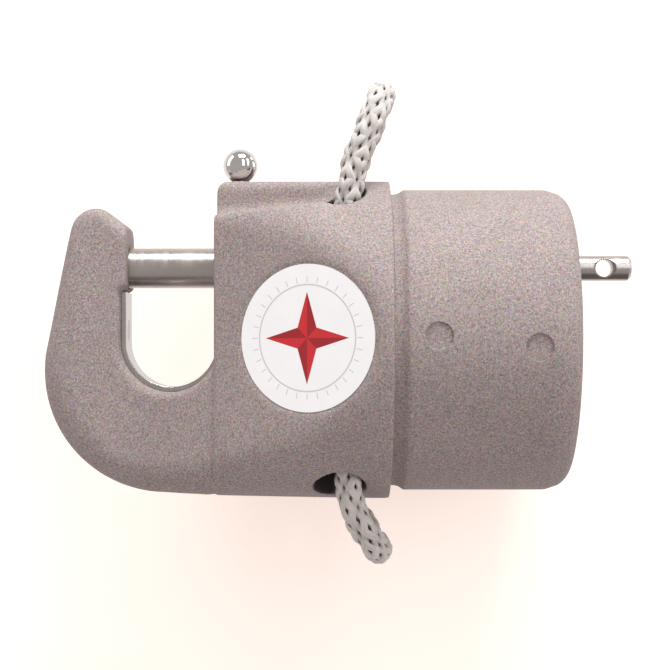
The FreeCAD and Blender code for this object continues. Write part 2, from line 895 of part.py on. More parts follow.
# The rope's route, from inside the near hole over the top, down the far hole and back under the body.
ROPE_ROUTE = [
    (-13.1, -19.0, 22.0),
    (-13.1, -19.0, 52.5),
    (-5.4, -19.5, 71.0),
    (-2.2, -11.5, 78.6),
    (-2.2, 11.5, 78.6),
    (-5.4, 19.5, 71.0),
    (-13.1, 19.0, 52.5),
    (-13.1, 19.0, -51.5),
    (-6.3, 19.5, -61.5),
    (-2.3, 11.5, -67.3),
    (-2.3, -11.5, -67.3),
    (-6.3, -19.5, -61.5),
    (-13.1, -19.0, -51.5),
    (-13.1, -19.0, 21.5),
]
BEND_SHARE = 0.45


def rope_line():
    """Straight runs joined by arcs that touch both runs, each as large as the shorter run allows."""
    points = [Vector(*point) for point in ROPE_ROUTE]
    edges = []
    radii = []
    start = points[0]
    for before, corner, after in zip(points, points[1:], points[2:]):
        back = (before - corner).normalize()
        onward = (after - corner).normalize()
        half_turn = (math.pi - back.getAngle(onward)) / 2
        setback = BEND_SHARE * min((before - corner).Length, (after - corner).Length)
        radius = setback / math.tan(half_turn)
        radii.append(radius)
        bend_start = corner + back * setback
        bend_end = corner + onward * setback
        inward = (back + onward).normalize()
        bend_middle = corner + inward * (radius / math.cos(half_turn) - radius)
        edges.append(Part.LineSegment(start, bend_start).toShape())
        edges.append(Part.Arc(bend_start, bend_middle, bend_end).toShape())
        start = bend_end
    edges.append(Part.LineSegment(start, points[-1]).toShape())
    print("rope bend radii, mm:", " ".join(f"{radius:.1f}" for radius in radii))
    return Part.Wire(edges)


def rope_bridle():
    line = rope_line()
    first = line.Edges[0].valueAt(0)
    way = line.Edges[0].tangentAt(0)
    section = Part.Wire([Part.Circle(first, way, s.rope_radius.value).toShape()])
    rope = doc.addObject("Part::Feature", "rope_bridle")
    rope.Shape = line.makePipeShell([section], True, False)
    ideal = math.pi * s.rope_radius.value ** 2 * line.Length
    print(f"rope length {line.Length:.1f} mm, volume {rope.Shape.Volume:.0f} of {ideal:.0f} mm3")
    return rope


nodes = [jaw_casting(), throat_liner()]
nodes += [liner_screw(name, spot, way) for name, (spot, way) in screw_places().items()]
nodes += [piston(), trip_rod(), rod_pin(), knob_stem(), ball_knob(), return_spring(), guide_plug()]
nodes += [plug_circlip(), off_flank("badge", s.badge_radius, s.badge_gauge, s.badge_sink), rope_bridle()]
doc.recompute()

for item in doc.Objects:
    if "Invalid" in item.State or "Error" in item.State:
        raise RuntimeError(f"{item.Name} failed: {item.State}")
for node in nodes:
    node.Label = node.Name
    if node.Shape.isNull() or not node.Shape.isValid() or not node.Shape.Solids:
        raise RuntimeError(f"{node.Name} is not a sound solid")
    box = node.Shape.BoundBox
    low = f"from {box.XMin:.1f}, {box.YMin:.1f}, {box.ZMin:.1f}"
    high = f"to {box.XMax:.1f}, {box.YMax:.1f}, {box.ZMax:.1f}"
    print(f"{node.Name}: {len(node.Shape.Solids)} solid, {node.Shape.Volume:.0f} mm3,", low, high)
    node.Shape.exportStep(f"parts/{node.Name}.step")
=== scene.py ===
import logging
import math
from dataclasses import dataclass, field
from enum import Enum
from typing import Optional, Sequence

import bpy
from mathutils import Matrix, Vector


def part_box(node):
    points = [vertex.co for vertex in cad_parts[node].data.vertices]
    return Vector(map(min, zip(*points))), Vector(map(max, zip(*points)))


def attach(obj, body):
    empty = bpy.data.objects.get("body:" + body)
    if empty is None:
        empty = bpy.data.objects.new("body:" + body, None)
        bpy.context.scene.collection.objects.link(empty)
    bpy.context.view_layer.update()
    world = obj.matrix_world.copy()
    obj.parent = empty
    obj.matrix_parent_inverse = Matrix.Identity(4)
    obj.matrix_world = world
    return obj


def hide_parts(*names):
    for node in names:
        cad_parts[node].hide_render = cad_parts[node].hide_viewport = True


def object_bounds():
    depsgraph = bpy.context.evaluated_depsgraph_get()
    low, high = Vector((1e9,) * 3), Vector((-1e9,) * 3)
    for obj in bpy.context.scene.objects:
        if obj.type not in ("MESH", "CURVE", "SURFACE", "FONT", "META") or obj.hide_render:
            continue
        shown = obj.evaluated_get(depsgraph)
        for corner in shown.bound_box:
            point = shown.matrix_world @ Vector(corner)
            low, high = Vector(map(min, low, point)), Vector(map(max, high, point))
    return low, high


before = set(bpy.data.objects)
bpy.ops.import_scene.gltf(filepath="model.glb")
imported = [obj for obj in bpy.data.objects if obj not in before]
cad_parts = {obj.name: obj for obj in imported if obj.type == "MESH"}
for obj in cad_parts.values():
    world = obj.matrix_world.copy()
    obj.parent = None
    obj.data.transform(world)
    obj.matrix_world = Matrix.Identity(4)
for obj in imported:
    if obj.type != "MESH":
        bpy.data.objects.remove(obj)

LOG = logging.getLogger("pole_end")
MM = 0.001
CAD_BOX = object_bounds()

# The body that the rope and the casting ride on.
HOUSING = "housing"

# The height of the piston's axis, then the rope holes' place along and across the body, and their radius.
PISTON_AXIS = 22.8 * MM
ROPE_HOLE = (-15.6 * MM, 21.2 * MM)
ROPE_HOLE_RADIUS = 7.7 * MM

Colour = tuple[float, float, float]
Place = tuple[float, float, float]
Span = tuple[float, float]
Socket = bpy.types.NodeSocket


class Slot(Enum):
    """The record's material slots of the pieces that are made here."""

    CAST = "cast_aluminium"
    ROPE = "rope_braid"


def deselect_all() -> None:
    """Leaves object mode with nothing selected."""
    if bpy.context.object and bpy.context.object.mode != "OBJECT":
        bpy.ops.object.mode_set(mode="OBJECT")
    bpy.ops.object.select_all(action="DESELECT")


def make_active(piece: bpy.types.Object) -> None:
    """Selects one object alone and makes it the active one.

    Args:
        piece: The object.
    """
    deselect_all()
    piece.select_set(True)
    bpy.context.view_layer.objects.active = piece


def settle(piece: bpy.types.Object, name: str) -> bpy.types.Object:
    """Names a finished piece, and puts its place into its mesh.

    Args:
        piece: The object, wherever it was modelled.
        name: Its name in the table of pieces.

    Returns:
        The same object, at the origin, unturned and unscaled.
    """
    make_active(piece)
    bpy.ops.object.transform_apply(location=True, rotation=True, scale=True)
    piece.name = name
    piece.data.name = name
    return piece


def apply_modifiers(piece: bpy.types.Object) -> None:
    """Applies every modifier of an object, in order.

    Args:
        piece: The object.
    """
    make_active(piece)
    for modifier in list(piece.modifiers):
        bpy.ops.object.modifier_apply(modifier=modifier.name)


class Tree:
    """A node tree with short calls for the nodes that the finishes use."""

    MIX_SHARE, MIX_FIRST, MIX_SECOND, MIX_COLOUR = 0, 6, 7, 2

    def __init__(self, tree: bpy.types.NodeTree) -> None:
        """Takes the node tree to work in."""
        self.tree = tree

    def node(self, kind: str, settings: Optional[dict] = None, **inputs: object) -> bpy.types.Node:
        """Adds a node.

        Args:
            kind: The node's Blender type, without "ShaderNode".
            settings: Values for the node's own properties.
            **inputs: Links or values for its inputs, by name with spaces as underscores.

        Returns:
            The new node.
        """
        new = self.tree.nodes.new("ShaderNode" + kind)
        for key, value in (settings or {}).items():
            setattr(new, key, value)
        for key, value in inputs.items():
            self.set(new.inputs[key.replace("_", " ")], value)
        return new

    def set(self, socket: Socket, value: object) -> None:
        """Links a socket into an input, or gives the input a value.

        Args:
            socket: The input.
            value: A link, a number, or a colour without its alpha.
        """
        if isinstance(value, bpy.types.NodeSocket):
            self.tree.links.new(value, socket)
        elif isinstance(value, tuple) and len(value) == 3 and socket.type == "RGBA":
            socket.default_value = (*value, 1.0)
        else:
            socket.default_value = value

    def math(self, operation: str, *values: object) -> Socket:
        """Works a number out of others.

        Args:
            operation: The operation's Blender name, such as "ADD".
            *values: Up to three numbers or links.

        Returns:
            The socket that gives the result.
        """
        new = self.node("Math", {"operation": operation})
        for socket, value in zip(new.inputs, values):
            self.set(socket, value)
        return new.outputs[0]

    def ramp(
        self,
        value: object,
        low: object,
        high: object,
        start: object = 0.0,
        end: object = 1.0,
        shape: str = "LINEAR",
    ) -> Socket:
        """Maps a number from one span to another, held at both ends.

        Args:
            value: The number or link.
            low: Where its span starts.
            high: Where its span ends.
            start: The result at the start.
            end: The result at the end.
            shape: The map's Blender name, such as "SMOOTHSTEP".

        Returns:
            The socket that gives the result.
        """
        new = self.node("MapRange", {"clamp": True, "interpolation_type": shape})
        for socket, number in zip(new.inputs, (value, low, high, start, end)):
            self.set(socket, number)
        return new.outputs[0]

    def smooth_step(self, value: object, low: object, high: object) -> Socket:
        """Maps a span to 0 to 1 with soft ends."""
        return self.ramp(value, low, high, shape="SMOOTHSTEP")

    def mix(self, share: object, first: object, second: object, blend: str = "MIX") -> Socket:
        """Mixes two colours.

        Args:
            share: The second colour's share.
            first: The first colour or its link.
            second: The second colour or its link.
            blend: The blend's Blender name, such as "OVERLAY".

        Returns:
            The socket that gives the colour.
        """
        new = self.node("Mix", {"data_type": "RGBA", "blend_type": blend})
        self.set(new.inputs[self.MIX_SHARE], share)
        self.set(new.inputs[self.MIX_FIRST], first)
        self.set(new.inputs[self.MIX_SECOND], second)
        return new.outputs[self.MIX_COLOUR]

    def length(self, across: object, up: object) -> Socket:
        """The distance that two square parts make."""
        square = self.math("ADD", self.math("MULTIPLY", across, across), self.math("MULTIPLY", up, up))
        return self.math("SQRT", square)

    def near(self, value: object, middle: float, full: float, none: float) -> Socket:
        """The mask of a band round a middle: full out to one distance, none past another."""
        off = self.math("ABSOLUTE", self.math("SUBTRACT", value, middle))
        return self.smooth_step(off, none, full)

    def parts(self, vector: object) -> tuple[Socket, Socket, Socket]:
        """Splits a vector into its three numbers."""
        new = self.node("SeparateXYZ", Vector=vector)
        return new.outputs[0], new.outputs[1], new.outputs[2]

    def object_place(self) -> Socket:
        """The point's place in the frame, in metres."""
        return self.node("TexCoord").outputs["Object"]


class Effect:
    """A shader node group that several finishes share, built once."""

    def __init__(self, name: str, inputs: dict[str, object], outputs: dict[str, str]) -> None:
        """Makes the group, still empty, with its sockets.

        Args:
            name: The group's name.
            inputs: The default of each input, or None for a vector.
            outputs: The Blender type of each output.
        """
        self.group = bpy.data.node_groups.new(name, "ShaderNodeTree")
        for label, default in inputs.items():
            kind = "NodeSocketVector" if default is None else "NodeSocketFloat"
            socket = self.group.interface.new_socket(label, in_out="INPUT", socket_type=kind)
            if default is not None:
                socket.default_value = default
        for label, kind in outputs.items():
            self.group.interface.new_socket(label, in_out="OUTPUT", socket_type=kind)
        self.tree = Tree(self.group)
        self.inputs = self.group.nodes.new("NodeGroupInput").outputs
        self.outputs = self.group.nodes.new("NodeGroupOutput").inputs

    def into(self, tree: Tree, **values: object) -> dict[str, Socket]:
        """Places the group in a material.

        Args:
            tree: The material's tree.
            **values: Links or values for the group's inputs, by name with spaces as underscores.

        Returns:
            The group's outputs by name.
        """
        new = tree.tree.nodes.new("ShaderNodeGroup")
        new.node_tree = self.group
        for key, value in values.items():
            tree.set(new.inputs[key.replace("_", " ")], value)
        return {socket.name: socket for socket in new.outputs}


class Effects:
    """The shared effects: mottle, fine grain and tool lines."""

    def __init__(self) -> None:
        """Builds each effect once."""
        self.mottle = self.build_mottle()
        self.grain = self.build_grain()
        self.lines = self.build_lines()

    def build_mottle(self) -> Effect:
        """Builds soft clouds in two sizes, about a middle of 0.5.

        Returns:
            The effect, with the clouds as its Value.
        """
        finer, small_share = 4.3, 0.4
        effect = Effect("soft_mottle", {"Place": None, "Size": 10.0 * MM}, {"Value": "NodeSocketFloat"})
        tree = effect.tree
        place = effect.inputs["Place"]
        scale = tree.math("DIVIDE", 1.0, effect.inputs["Size"])
        wide = tree.node("TexNoise", Vector=place, Scale=scale, Detail=2.0)
        small = tree.node("TexNoise", Vector=place, Scale=tree.math("MULTIPLY", scale, finer), Detail=3.0)
        most = tree.math("MULTIPLY", wide.outputs[0], 1.0 - small_share)
        tree.set(effect.outputs["Value"], tree.math("MULTIPLY_ADD", small.outputs[0], small_share, most))
        return effect

    def build_grain(self) -> Effect:
        """Builds the pits and peaks that sand and blasting leave.

        Returns:
            The effect: the Height of the pits and peaks, the mask of its bright Specks, and a faint Tint.
        """
        wider, finer, half = 0.55, 1.15, 0.5
        speck_span = (0.60, 0.74)
        outputs = {"Height": "NodeSocketFloat", "Specks": "NodeSocketFloat", "Tint": "NodeSocketColor"}
        effect = Effect("blasted_grain", {"Place": None, "Size": 0.5 * MM}, outputs)
        tree = effect.tree
        place = effect.inputs["Place"]
        scale = tree.math("DIVIDE", 1.0, effect.inputs["Size"])
        grit = tree.node("TexNoise", Vector=place, Scale=scale, Detail=2.0, Roughness=0.75)
        wide_scale = tree.math("MULTIPLY", scale, wider)
        lumps = tree.node("TexNoise", Vector=place, Scale=wide_scale, Detail=2.0, Roughness=0.6)
        fine_half = tree.math("MULTIPLY", grit.outputs[0], half)
        height = tree.math("MULTIPLY_ADD", lumps.outputs[0], half, fine_half)
        tint = tree.node("TexNoise", Vector=place, Scale=tree.math("MULTIPLY", scale, finer), Detail=1.0)
        tree.set(effect.outputs["Height"], height)
        tree.set(effect.outputs["Specks"], tree.smooth_step(grit.outputs[0], *speck_span))
        tree.set(effect.outputs["Tint"], tint.outputs[1])
        return effect

    def build_lines(self) -> Effect:
        """Builds fine lines round an axis or along a strip, from a coordinate that crosses them.

        Returns:
            The effect: the Height of the lines, and the Mask of the patches where they are rough.
        """
        rare_scale = 0.13
        rough_span = (0.5, 0.72)
        outputs = {"Height": "NodeSocketFloat", "Mask": "NodeSocketFloat"}
        effect = Effect("tool_lines", {"Across": 0.0, "Drift": 0.0, "Pitch": 0.2 * MM}, outputs)
        tree = effect.tree
        steps = tree.math("DIVIDE", effect.inputs["Across"], effect.inputs["Pitch"])
        spot = tree.node("CombineXYZ", X=steps, Y=effect.inputs["Drift"]).outputs[0]
        fine = tree.node("TexNoise", Vector=spot, Scale=1.0, Detail=4.0, Roughness=0.7)
        rare = tree.node("TexNoise", Vector=spot, Scale=rare_scale, Detail=2.0)
        tree.set(effect.outputs["Height"], fine.outputs[0])
        tree.set(effect.outputs["Mask"], tree.smooth_step(rare.outputs[0], *rough_span))
        return effect


@dataclass(frozen=True)
class Finish:
    """What every finish has: its shader's plain values, and clouds of a darker and a lighter tone."""

    name: str
    colour: Colour
    roughness: float
    metallic: float = 0.0
    cloud: float = 5.0 * MM
    cloud_span: Span = (0.3, 0.7)
    tones: Span = (0.9, 1.1)
    relief: float = 0.01 * MM
    edge: float = 0.0

    def material(self, effects: Effects) -> bpy.types.Material:
        """Builds the material.

        Args:
            effects: The shared node groups.

        Returns:
            The material.
        """
        material = bpy.data.materials.new(self.name)
        material.use_nodes = True
        shader = material.node_tree.nodes["Principled BSDF"]
        shader.inputs["Roughness"].default_value = self.roughness
        shader.inputs["Metallic"].default_value = self.metallic
        tree = Tree(material.node_tree)
        tree.set(shader.inputs["Base Color"], self.colour)
        self.paint(tree, shader, effects)
        return material

    def paint(self, tree: Tree, shader: bpy.types.Node, effects: Effects) -> None:
        """Gives the shader the finish's pattern; each finish has its own."""
        raise NotImplementedError

    def tone(self, share: float) -> Colour:
        """The finish's colour, made darker or lighter by a share."""
        return tuple(min(1.0, channel * share) for channel in self.colour)

    def clouds(self, tree: Tree, effects: Effects) -> tuple[Socket, Socket]:
        """Lays the finish's clouds.

        Args:
            tree: The material's tree.
            effects: The shared node groups.

        Returns:
            The clouds' value from 0 to 1, and the colour that they give.
        """
        clouds = effects.mottle.into(tree, Place=tree.object_place(), Size=self.cloud)["Value"]
        dark, light = self.tones
        return clouds, tree.mix(tree.ramp(clouds, *self.cloud_span), self.tone(dark), self.tone(light))

    def bump(self, tree: Tree, shader: bpy.types.Node, height: object) -> None:
        """Adds the finish's relief to a shader, and eases the piece's edges.

        Args:
            tree: The material's tree.
            shader: The Principled shader.
            height: The relief, from 0 to 1.
        """
        relief = tree.node("Bump", Strength=1.0, Distance=self.relief, Height=height)
        if self.edge:
            tree.set(relief.inputs["Normal"], tree.node("Bevel", {"samples": 6}, Radius=self.edge).outputs[0])
        tree.set(shader.inputs["Normal"], relief.outputs[0])


@dataclass(frozen=True)
class CastFinish(Finish):
    """Sand-cast aluminium, blasted and anodised to a matt warm grey."""

    metallic: float = 0.08
    specular: float = 0.3
    cloud: float = 16.0 * MM
    tones: Span = (0.94, 1.06)
    relief: float = 0.06 * MM
    edge: float = 0.5 * MM
    grain: float = 0.36 * MM
    pit_span: Span = (0.5, 0.33)
    pit_tone: float = 0.5
    peak_span: Span = (0.5, 0.67)
    peak_tone: float = 2.0
    peak_share: float = 0.5
    speck_share: float = 0.35
    tint_share: float = 0.8
    rough_swing: float = 0.08
    # Painted shade: how dark the rope's holes are painted, and how far past their edge it reaches.
    hole_shade_tone: float = 0.1
    hole_shade_reach: Span = (0.2 * MM, 0.9 * MM)

    def paint(self, tree: Tree, shader: bpy.types.Node, effects: Effects) -> None:
        """Paints the grain over the clouds, and painted shade, dark to near black, in the rope's holes and on
        their rims.

        Args:
            tree: The material's tree.
            shader: The Principled shader.
            effects: The shared node groups.
        """
        clouds, body = self.clouds(tree, effects)
        grain = effects.grain.into(tree, Place=tree.object_place(), Size=self.grain)
        height = grain["Height"]
        pitted = tree.mix(tree.ramp(height, *self.pit_span), body, self.tone(self.pit_tone))
        peaks = tree.ramp(height, *self.peak_span, 0.0, self.peak_share)
        raised = tree.mix(peaks, pitted, self.tone(self.peak_tone))
        specks = tree.math("MULTIPLY", grain["Specks"], self.speck_share)
        speckled = tree.mix(specks, raised, self.tone(self.peak_tone))
        tinted = tree.mix(self.tint_share, speckled, grain["Tint"], "OVERLAY")
        # Painted shade: the rope's holes and rims are darkened nearly to black in the colour.
        hole_shaded = tree.mix(self.painted_hole_shade_mask(tree), tinted, self.tone(self.hole_shade_tone))
        tree.set(shader.inputs["Base Color"], hole_shaded)
        shader.inputs["Specular IOR Level"].default_value = self.specular
        smooth, rough = self.roughness - self.rough_swing, self.roughness + self.rough_swing
        tree.set(shader.inputs["Roughness"], tree.ramp(height, *self.cloud_span, rough, smooth))
        self.bump(tree, shader, height)

    def painted_hole_shade_mask(self, tree: Tree) -> Socket:
        """The mask of the rope's holes and their rims, where painted shade darkens the colour.

        Args:
            tree: The material's tree.

        Returns:
            The mask, from 0 to 1.
        """
        along, across, up = tree.parts(tree.object_place())
        wide = tree.math("SUBTRACT", along, ROPE_HOLE[0])
        deep = tree.math("SUBTRACT", tree.math("ABSOLUTE", across), ROPE_HOLE[1])
        full, none = (ROPE_HOLE_RADIUS + reach for reach in self.hole_shade_reach)
        return tree.smooth_step(tree.length(wide, deep), none, full)


@dataclass(frozen=True)
class LinedFinish(Finish):
    """A finish with the fine lines of a tool or a roll, which handling roughens in patches."""

    pitch: float = 0.25 * MM
    drift: float = 0.0
    worn: float = 0.1
    hazy: float = 0.0

    def crossing(self, tree: Tree) -> tuple[Socket, Socket]:
        """The place across the lines, and the one along which they drift; lines round X unless said."""
        along, across, up = tree.parts(tree.object_place())
        return along, across

    def rough(self, tree: Tree, mask: Socket, clouds: Socket) -> Socket:
        """The roughness, from the mask of the worn patches and the clouds."""
        worn = tree.math("MULTIPLY_ADD", mask, self.worn, self.roughness)
        return tree.math("MULTIPLY_ADD", clouds, self.hazy, worn)

    def paint(self, tree: Tree, shader: bpy.types.Node, effects: Effects) -> None:
        """Paints the clouds and the lines.

        Args:
            tree: The material's tree.
            shader: The Principled shader.
            effects: The shared node groups.
        """
        across, along = self.crossing(tree)
        drift = tree.math("MULTIPLY", along, self.drift)
        lines = effects.lines.into(tree, Across=across, Drift=drift, Pitch=self.pitch)
        clouds, shade = self.clouds(tree, effects)
        tree.set(shader.inputs["Base Color"], shade)
        tree.set(shader.inputs["Roughness"], self.rough(tree, lines["Mask"], clouds))
        self.bump(tree, shader, lines["Height"])


@dataclass(frozen=True)
class TurnedSteel(LinedFinish):
    """Stainless bar turned about an axis along X, with fine rings and a few handling marks."""

    metallic: float = 1.0
    cloud: float = 6.0 * MM
    tones: Span = (0.94, 1.05)
    relief: float = 0.02 * MM
    edge: float = 0.25 * MM
    drift: float = 0.6
    hazy: float = 0.08
    axis_height: float = 0.0

    def crossing(self, tree: Tree) -> tuple[Socket, Socket]:
        """The place along the bar, and the turn about its axis."""
        along, across, up = tree.parts(tree.object_place())
        return along, tree.math("ARCTAN2", tree.math("SUBTRACT", up, self.axis_height), across)


@dataclass(frozen=True)
class StripSteel(LinedFinish):
    """Cold-rolled stainless strip with rolling lines across its width and rubbed patches."""

    metallic: float = 1.0
    tones: Span = (0.9, 1.06)
    relief: float = 0.006 * MM
    edge: float = 0.5 * MM
    pitch: float = 0.16 * MM
    drift: float = 40.0
    worn: float = 0.12

    def crossing(self, tree: Tree) -> tuple[Socket, Socket]:
        """The place across the strip's width, and its height."""
        along, across, up = tree.parts(tree.object_place())
        return across, up


@dataclass(frozen=True)
class MirrorSteel(LinedFinish):
    """A polished ball with faint smears and hairlines from handling."""

    metallic: float = 1.0
    cloud: float = 2.5 * MM
    tones: Span = (0.97, 1.02)
    relief: float = 0.0012 * MM
    pitch: float = 0.3 * MM
    drift: float = 90.0
    smear_span: Span = (0.35, 0.7)
    smear: float = 0.06

    def crossing(self, tree: Tree) -> tuple[Socket, Socket]:
        """The height, and the place across the ball."""
        along, across, up = tree.parts(tree.object_place())
        return up, across

    def rough(self, tree: Tree, mask: Socket, clouds: Socket) -> Socket:
        """The roughness, higher where the smears are."""
        return tree.ramp(clouds, *self.smear_span, self.roughness, self.roughness + self.smear)


@dataclass(frozen=True)
class BushPlastic(LinedFinish):
    """Turned black acetal: soft rings and a slight bloom."""

    cloud: float = 4.0 * MM
    tones: Span = (0.8, 1.35)
    pitch: float = 0.18 * MM


@dataclass(frozen=True)
class PrintedBadge(Finish):
    """A white printed disc with a plain red four-point rose inside a fine grey ring and ticks."""

    cloud: float = 9.0 * MM
    tones: Span = (0.97, 1.02)
    relief: float = 0.02 * MM
    gloss_swing: float = 0.1
    coat: float = 0.25
    coat_roughness: float = 0.3
    centre: Place = (0.0, 0.0, 0.0)
    taper: float = 0.0
    radius: float = 22.0 * MM
    ink: Colour = (0.62, 0.02, 0.03)
    dark_ink: Colour = (0.36, 0.012, 0.018)
    line: Colour = (0.62, 0.62, 0.64)
    rose_slope: float = 3.4
    rose_rim: Span = (0.635, 0.615)
    ring_reach: float = 0.72
    ring_rim: Span = (0.006, 0.014)
    ticks: int = 32
    tick_rim: Span = (0.16, 0.09)
    tick_reach: float = 0.79
    tick_ends: Span = (0.038, 0.045)

    def paint(self, tree: Tree, shader: bpy.types.Node, effects: Effects) -> None:
        """Prints the rose, the ring and the ticks on the paper.

        Args:
            tree: The material's tree.
            shader: The Principled shader.
            effects: The shared node groups.
        """
        across, up = self.flat_place(tree)
        star, half = self.rose(tree, across, up)
        clouds, paper = self.clouds(tree, effects)
        ruled = tree.mix(self.rings(tree, across, up), paper, self.line)
        red = tree.mix(half, self.ink, self.dark_ink)
        tree.set(shader.inputs["Base Color"], tree.mix(star, ruled, red))
        dull = self.roughness + self.gloss_swing
        tree.set(shader.inputs["Roughness"], tree.ramp(clouds, *self.cloud_span, self.roughness, dull))
        shader.inputs["Coat Weight"].default_value = self.coat
        shader.inputs["Coat Roughness"].default_value = self.coat_roughness
        self.bump(tree, shader, clouds)

    def flat_place(self, tree: Tree) -> tuple[Socket, Socket]:
        """Flattens the place onto the leaning disc.

        Args:
            tree: The material's tree.

        Returns:
            The place across and up from the disc's centre, as shares of its radius.
        """
        off = tree.node("VectorMath", {"operation": "SUBTRACT"})
        tree.set(off.inputs[0], tree.object_place())
        off.inputs[1].default_value = self.centre
        along, across, up = tree.parts(off.outputs[0])
        wide = tree.math("MULTIPLY", along, math.cos(self.taper) / self.radius)
        deep = tree.math("MULTIPLY", across, -math.sin(self.taper) / self.radius)
        return tree.math("ADD", wide, deep), tree.math("DIVIDE", up, self.radius)

    def rose(self, tree: Tree, across: Socket, up: Socket) -> tuple[Socket, Socket]:
        """Masks of the four-point rose and of the darker half of each point.

        Args:
            tree: The material's tree.
            across: The place across the disc.
            up: The place up the disc.

        Returns:
            The whole rose's mask and its dark halves' mask.
        """
        wide = tree.math("ABSOLUTE", across)
        high = tree.math("ABSOLUTE", up)
        least = tree.math("MULTIPLY", tree.math("MINIMUM", wide, high), self.rose_slope)
        reach = tree.math("ADD", least, tree.math("MAXIMUM", wide, high))
        side = tree.math("MULTIPLY", tree.math("MULTIPLY", across, up), tree.math("SUBTRACT", high, wide))
        return tree.smooth_step(reach, *self.rose_rim), tree.math("GREATER_THAN", side, 0.0)

    def rings(self, tree: Tree, across: Socket, up: Socket) -> Socket:
        """The mask of the fine ring and of the ticks outside it.

        Args:
            tree: The material's tree.
            across: The place across the disc.
            up: The place up the disc.

        Returns:
            The mask, from 0 to 1.
        """
        reach = tree.length(across, up)
        ring = tree.near(reach, self.ring_reach, *self.ring_rim)
        turn = tree.math("MULTIPLY", tree.math("ARCTAN2", up, across), self.ticks / 2.0)
        tick = tree.smooth_step(tree.math("ABSOLUTE", tree.math("SINE", turn)), *self.tick_rim)
        band = tree.near(reach, self.tick_reach, *self.tick_ends)
        return tree.math("MAXIMUM", ring, tree.math("MULTIPLY", tick, band))


@dataclass(frozen=True)
class BraidedFibre(Finish):
    """Grey-white filament: fine dark lines between the threads along each strand, and painted shade between
    the strands.
    """

    cloud: float = 4.0 * MM
    tones: Span = (0.86, 1.08)
    relief: float = 0.12 * MM
    # One dark colour: for the lines between the threads, and for the painted shade between the strands.
    dirt_and_gap_shade: Colour = (0.10, 0.085, 0.075)
    thread_pitch: float = 0.045
    thread_drift: float = 60.0
    thread_span: Span = (0.35, 0.6)
    thread_dirt: float = 0.34
    gap_span: Span = (0.62, 0.15)
    gap_shade_share: float = 0.85
    sheen: float = 0.25

    def paint(self, tree: Tree, shader: bpy.types.Node, effects: Effects) -> None:
        """Paints the threads, and painted shade between the strands, from the strands' own coordinates.

        Args:
            tree: The material's tree.
            shader: The Principled shader.
            effects: The shared node groups.
        """
        along, around, none = tree.parts(tree.node("UVMap", {"uv_map": "strand"}).outputs[0])
        drift = tree.math("MULTIPLY", along, self.thread_drift)
        threads = effects.lines.into(tree, Across=around, Drift=drift, Pitch=self.thread_pitch)["Height"]
        clouds, fibre = self.clouds(tree, effects)
        lined = tree.mix(tree.ramp(threads, *self.thread_span, self.thread_dirt, 0.0), fibre, self.dirt_and_gap_shade)
        # Painted shade: points that stand deep in the rope, and the core, darken towards the dark colour.
        depth = tree.node("Attribute", {"attribute_name": "outward"}).outputs["Fac"]
        gap = tree.math("MULTIPLY", tree.smooth_step(depth, *self.gap_span), self.gap_shade_share)
        tree.set(shader.inputs["Base Color"], tree.mix(gap, lined, self.dirt_and_gap_shade))
        shader.inputs["Sheen Weight"].default_value = self.sheen
        self.bump(tree, shader, threads)


@dataclass(frozen=True)
class Photograph:
    """The picture's frame, and how its pixels measure the object's middle plane."""

    side_px: float = 670.0
    focal_px: float = 1700.0
    axis_px: Span = (320.0, 365.0)
    origin_px: Span = (388.0, 340.0)
    pixel: float = 0.3185 * MM
    sensor: float = 36.0
    clip: Span = (0.01, 20.0)

    def spot(self) -> Vector:
        """Works out where the camera stands, straight in front of the point that its axis meets.

        Returns:
            The place in the frame.
        """
        across = (self.axis_px[0] - self.origin_px[0]) * self.pixel
        up = (self.origin_px[1] - self.axis_px[1]) * self.pixel
        return Vector((across, -self.focal_px * self.pixel, up))

    def make_camera(self) -> None:
        """Makes the camera that took the picture."""
        deselect_all()
        bpy.ops.object.camera_add(location=self.spot(), rotation=(math.radians(90.0), 0.0, 0.0))
        camera = bpy.context.object
        camera.name = "photograph_camera"
        camera.data.sensor_width = self.sensor
        camera.data.lens = self.focal_px / self.side_px * self.sensor
        camera.data.shift_x = 0.5 - self.axis_px[0] / self.side_px
        camera.data.shift_y = self.axis_px[1] / self.side_px - 0.5
        camera.data.clip_start, camera.data.clip_end = self.clip
        bpy.context.scene.camera = camera


@dataclass(frozen=True)
class Lamp:
    """A soft lamp: the way to it in degrees, its power in watts, and its distance and size in metres."""

    name: str
    turn: float
    climb: float
    power: float
    wide: float = 0.3
    tall: float = 1.0
    distance: float = 1.3
    colour: Colour = (1.0, 1.0, 1.0)

    def make(self) -> None:
        """Adds the lamp to the scene, turned so that its top edge is upright."""
        turn = math.radians(self.turn)
        climb = math.radians(self.climb)
        level = math.cos(climb)
        way = Vector((math.sin(turn) * level, -math.cos(turn) * level, math.sin(climb)))
        bpy.ops.object.light_add(type="AREA", location=way * self.distance)
        lamp = bpy.context.object
        lamp.name = self.name
        lamp.data.shape = "RECTANGLE"
        lamp.data.size = self.wide
        lamp.data.size_y = self.tall
        lamp.data.energy = self.power
        lamp.data.color = self.colour
        lamp.rotation_euler = (-way).to_track_quat("-Z", "Y").to_euler()


